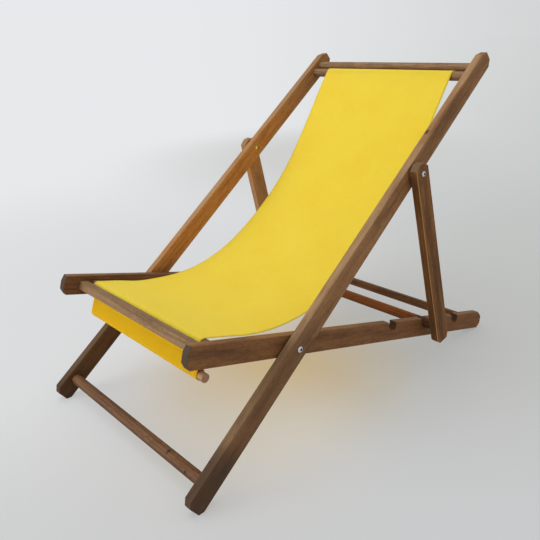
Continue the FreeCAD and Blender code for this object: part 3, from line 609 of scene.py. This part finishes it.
def sling_mesh():
    """Both sides of the cloth in rows and columns, joined round its border."""
    normals = normals_of(LINE)
    rows = len(LINE)
    vertices, maps = [], []
    for side in (0.5, -0.5):
        for row in range(rows):
            shift = shift_at(LINE[row][0])
            for u in np.linspace(-1, 1, COLUMNS):
                lift = sag(u, ALONG[row]) + side * CLOTH
                point = LINE[row] + normals[row] * lift
                vertices.append((shift + u * SLING_WIDTH / 2, point[0], point[1]))
                maps.append((u * SLING_WIDTH / 2, ALONG[row]))
    size = rows * COLUMNS
    faces = []
    for row in range(rows - 1):
        for column in range(COLUMNS - 1):
            a = row * COLUMNS + column
            b, c, d = a + 1, a + COLUMNS + 1, a + COLUMNS
            faces.append((a, b, c, d))
            faces.append((size + d, size + c, size + b, size + a))
    border = [row * COLUMNS for row in range(rows)]
    border += [(rows - 1) * COLUMNS + column for column in range(1, COLUMNS)]
    border += [row * COLUMNS + COLUMNS - 1 for row in range(rows - 2, -1, -1)]
    border += list(range(COLUMNS - 2, 0, -1))
    for here, there in zip(border, border[1:] + border[:1]):
        faces.append((here, there, size + there, size + here))
    mesh = new_mesh("sling_canvas", vertices, faces)
    layer = mesh.uv_layers.new(name="cloth")
    for loop in mesh.loops:
        layer.data[loop.index].uv = maps[loop.vertex_index]
    mesh.validate()
    mesh.update()
    return mesh


def place_on_cloth(u, v, lift):
    """A point on the cloth and the direction out of it."""
    row = int(np.searchsorted(ALONG, v)) - 1
    row = min(max(row, 0), len(LINE) - 2)
    step = ALONG[row + 1] - ALONG[row]
    share = (v - ALONG[row]) / step
    middle = LINE[row] * (1 - share) + LINE[row + 1] * share
    way = (LINE[row + 1] - LINE[row]) / step
    out = flat(-way[1], way[0])
    point = middle + out * (sag(u, v) + lift)
    centre = Vector((shift_at(middle[0]) + u * SLING_WIDTH / 2, point[0], point[1]))
    return centre, Vector((0, out[0], out[1]))


ACROSS = Vector((1, 0, 0))
# Each stitch is a string of rings: the place along it and the girth there, as shares.
STITCH_RINGS = ((-1.0, 0.25), (-0.55, 0.9), (0.55, 0.9), (1.0, 0.25))
STITCH_SIDES = 6
STITCH_HALF_LENGTH, STITCH_HALF_WIDTH, STITCH_HALF_HEIGHT = 0.0012, 0.00032, 0.00026
STITCH_LIFT = 0.0001
STITCHES_PER_HALF = 58
SEAM_RISE = 0.004
SEAM_SPACING = 0.006


def stitches(marks):
    """Short rounded stitches lying on the cloth, as one mesh."""
    vertices, faces = [], []
    sides = range(STITCH_SIDES)
    for centre, out in marks:
        side = ACROSS.cross(out)
        base = len(vertices)
        for reach, girth in STITCH_RINGS:
            for k in sides:
                angle = math.pi * 2 * k / STITCH_SIDES
                vertices.append(centre + ACROSS * (reach * STITCH_HALF_LENGTH)
                                + side * (math.cos(angle) * STITCH_HALF_WIDTH * girth)
                                + out * (math.sin(angle) * STITCH_HALF_HEIGHT * girth))
        last_ring = len(STITCH_RINGS) - 1
        for ring in range(last_ring):
            for k in sides:
                a = base + ring * STITCH_SIDES + k
                b = base + ring * STITCH_SIDES + (k + 1) % STITCH_SIDES
                faces.append((a, b, b + STITCH_SIDES, a + STITCH_SIDES))
        faces.append(tuple(base + k for k in reversed(sides)))
        faces.append(tuple(base + last_ring * STITCH_SIDES + k for k in sides))
    mesh = new_mesh("sling_stitches", vertices, faces)
    mesh.update()
    return mesh


def seam_marks():
    """Two rows of stitches that close the front hem, through the flap and the cloth before it."""
    first_row = ALONG[SEAT_START - 1] - (HEM_DROP - HEM_GATE + ROD_RADIUS + GAP) + SEAM_RISE
    return [place_on_cloth(index / STITCHES_PER_HALF, first_row + further, CLOTH / 2 + STITCH_LIFT)
            for further in (0.0, SEAM_SPACING)
            for index in range(1 - STITCHES_PER_HALF, STITCHES_PER_HALF)]


def link(name, mesh, material):
    thing = bpy.data.objects.new(name, mesh)
    bpy.context.scene.collection.objects.link(thing)
    mesh.materials.append(material)
    return thing


sling = link("sling_cloth", sling_mesh(), canvas("sling_canvas", ALONG[SEAT_START]))
seams = link("sling_stitches", stitches(seam_marks()), thread("sling_thread"))

for piece in (sling, seams):
    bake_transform(piece)
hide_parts("sling")


# studio

BACKDROP_BRIGHT = srgb(231, 233, 235)
BACKDROP_DIM = srgb(199, 202, 200)
TOWARDS_DIM = (0.664, 0.748, 0)
BRIGHT_TO, DIM_FROM = -0.15, 0.75
FLOOR_NEAR = srgb(211, 211, 210)
FLOOR_MOTTLE = srgb(212, 212, 211)
FLOOR_FRONT = srgb(208, 210, 212)
TOWARDS_FRONT = (0.748, -0.664, 0)
FLOOR_RADIUS = 30.0
FLOOR_SIDES = 96
FLOOR_RELIEF = 0.001
# The front tone comes in over these distances ahead, and goes out over these from the chair.
FRONT_IN, FRONT_OUT = (0.05, 0.65), (5.0, 1.0)
# By the chair, this share of the floor's look is the paper's own glow. It is all of it far off.
PAPER_GLOW = 0.52
PAPER_IN = (0.7, 2.8)
# The chair's soft shade on the paper a little way behind it.
SHADE_TONE = srgb(198, 198, 195)
SHADE_CENTRE = (-1.85, 2.0, 0)
SHADE_REACH = 1.6
SHADE_CORE = 0.2
# Light that has come through the cloth and off its underside, on the floor below.
WARM_FLOOR = srgb(226, 201, 152)
WARM_CENTRE = (0.0, -0.06, 0)
WARM_REACH = 0.44
# Light that reaches the floor between the front legs.
LIT_FLOOR = srgb(236, 229, 213)
LIT_CENTRE = (0.17, -0.27, 0)
LIT_REACH = 0.34
FILL_COLOUR = (0.97, 0.98, 1.0, 1)
FILL_STRENGTH = 0.62


def backdrop_tone(g, direction):
    """The backdrop's tone by compass direction, brighter on one side."""
    share = g.ramp(g.along(direction, TOWARDS_DIM), BRIGHT_TO, DIM_FROM)
    return g.mix(share, BACKDROP_BRIGHT, BACKDROP_DIM)


def seen_rays(g):
    """1 for the rays that show the backdrop: those of the camera, of gloss and of clear things."""
    path = g.put("LightPath").outputs
    rays = path["Is Camera Ray"]
    for name in ("Is Glossy Ray", "Is Transmission Ray"):
        rays = g.math("MAXIMUM", rays, path[name])
    return rays


def spot(g, place, centre, reach, core=0.0):
    """1 near a centre on the floor, falling to 0 at its reach."""
    return g.ramp(g.length(g.offset(place, centre)), reach, core)


def floor():
    """A wide pale floor that turns into the backdrop's own tone away from the chair."""
    g = Surface("studio_floor")
    place = g.put("TexCoord").outputs["Object"]
    away = g.length(place)
    warmth = spot(g, place, WARM_CENTRE, WARM_REACH)
    paint = g.mix(g.noise(place, scale=2.2, detail=3, roughness=0.5), FLOOR_NEAR, FLOOR_MOTTLE)
    g.dress({"Base Color": g.tint(paint, WARM_FLOOR, warmth, strength=0.5), "Roughness": 0.75})
    g.bump(g.noise(place, scale=60, detail=3), strength=0.05, distance=FLOOR_RELIEF)

    compass = g.put("VectorMath", {0: place}, operation="NORMALIZE").outputs[0]
    ahead = g.ramp(g.along(place, TOWARDS_FRONT), *FRONT_IN)
    front = g.times(ahead, g.ramp(away, *FRONT_OUT))
    tone = g.mix(front, backdrop_tone(g, compass), FLOOR_FRONT)
    shade = spot(g, place, SHADE_CENTRE, SHADE_REACH, SHADE_CORE)
    tone = g.tint(tone, SHADE_TONE, shade, strength=0.7)
    tone = g.mix(warmth, tone, WARM_FLOOR)
    tone = g.tint(tone, LIT_FLOOR, spot(g, place, LIT_CENTRE, LIT_REACH), strength=0.8)
    paper = g.put("Emission", {"Color": tone, "Strength": 1.0}).outputs[0]

    share = g.plus(PAPER_GLOW, g.times(g.ramp(away, *PAPER_IN), 1 - PAPER_GLOW))
    share = g.times(share, seen_rays(g))
    blend = g.put("MixShader", {0: share, 1: g.shader.outputs[0], 2: paper})
    g.feed(g.output.inputs["Surface"], blend.outputs[0])

    mesh = bpy.data.meshes.new("studio_floor")
    turns = [2 * math.pi * k / FLOOR_SIDES for k in range(FLOOR_SIDES)]
    rim = [(FLOOR_RADIUS * math.cos(turn), FLOOR_RADIUS * math.sin(turn), 0) for turn in turns]
    mesh.from_pydata(rim, [], [tuple(range(FLOOR_SIDES))])
    link("studio_floor", mesh, g.material)


def world():
    """Even fill light, and the backdrop for the rays that show it."""
    space = bpy.data.worlds.new("studio")
    bpy.context.scene.world = space
    space.use_nodes = True
    space.node_tree.nodes.clear()
    g = Graph(space.node_tree)
    fill = g.put("Background", {"Color": FILL_COLOUR, "Strength": FILL_STRENGTH})
    compass = g.put("TexCoord").outputs["Generated"]
    seen = g.put("Background", {"Color": backdrop_tone(g, compass), "Strength": 1.0})
    both = g.put("MixShader", {0: seen_rays(g), 1: fill.outputs[0], 2: seen.outputs[0]})
    g.put("OutputWorld", {"Surface": both.outputs[0]})


WARM_WHITE = (1.0, 0.985, 0.96)
# Name, place, aim, width and power of each lamp.
LAMPS = (
    ("softbox_over", (-0.5, -0.4, 2.6), (0, 0, 0.2), 2.6, 16),
    ("softbox_front", (-1.2, -2.8, 1.15), (0, 0, 0.35), 2.2, 30),
)


def lamp(name, place, aim, width, power):
    """A round soft lamp."""
    data = bpy.data.lights.new(name, "AREA")
    data.shape = "DISK"
    data.size = width
    data.energy = power
    data.color = WARM_WHITE
    thing = bpy.data.objects.new(name, data)
    bpy.context.scene.collection.objects.link(thing)
    thing.location = place
    thing.rotation_euler = (Vector(aim) - Vector(place)).to_track_quat("-Z", "Y").to_euler()


AZIMUTH, ELEVATION, ROLL = 0.8436913, 0.2405514, -0.0470280
CAMERA_PLACE = (1.0964331, -0.7880729 + MAIN_PIVOT.y, 0.8361760)
FOCAL_PIXELS = 635.5176
PICTURE_PIXELS = 540
SHIFT_PIXELS = -85
SENSOR_WIDTH = 36


def camera():
    """The photograph's viewpoint: turn, tilt, roll, focal length and vertical shift."""
    level = math.cos(ELEVATION)
    back = Vector((math.sin(AZIMUTH) * level, -math.cos(AZIMUTH) * level, math.sin(ELEVATION)))
    right = Vector((math.cos(AZIMUTH), math.sin(AZIMUTH), 0))
    up = back.cross(right)
    right_rolled = right * math.cos(ROLL) + up * math.sin(ROLL)
    up_rolled = up * math.cos(ROLL) - right * math.sin(ROLL)
    data = bpy.data.cameras.new("camera")
    data.sensor_width = SENSOR_WIDTH
    data.lens = FOCAL_PIXELS / PICTURE_PIXELS * SENSOR_WIDTH
    data.shift_y = SHIFT_PIXELS / PICTURE_PIXELS
    thing = bpy.data.objects.new("camera", data)
    bpy.context.scene.collection.objects.link(thing)
    axes = Matrix((right_rolled, up_rolled, back)).transposed().to_4x4()
    thing.matrix_world = Matrix.Translation(CAMERA_PLACE) @ axes
    bpy.context.scene.camera = thing


floor()
world()
for settings in LAMPS:
    lamp(*settings)
camera()
bpy.context.scene.view_settings.view_transform = "Standard"
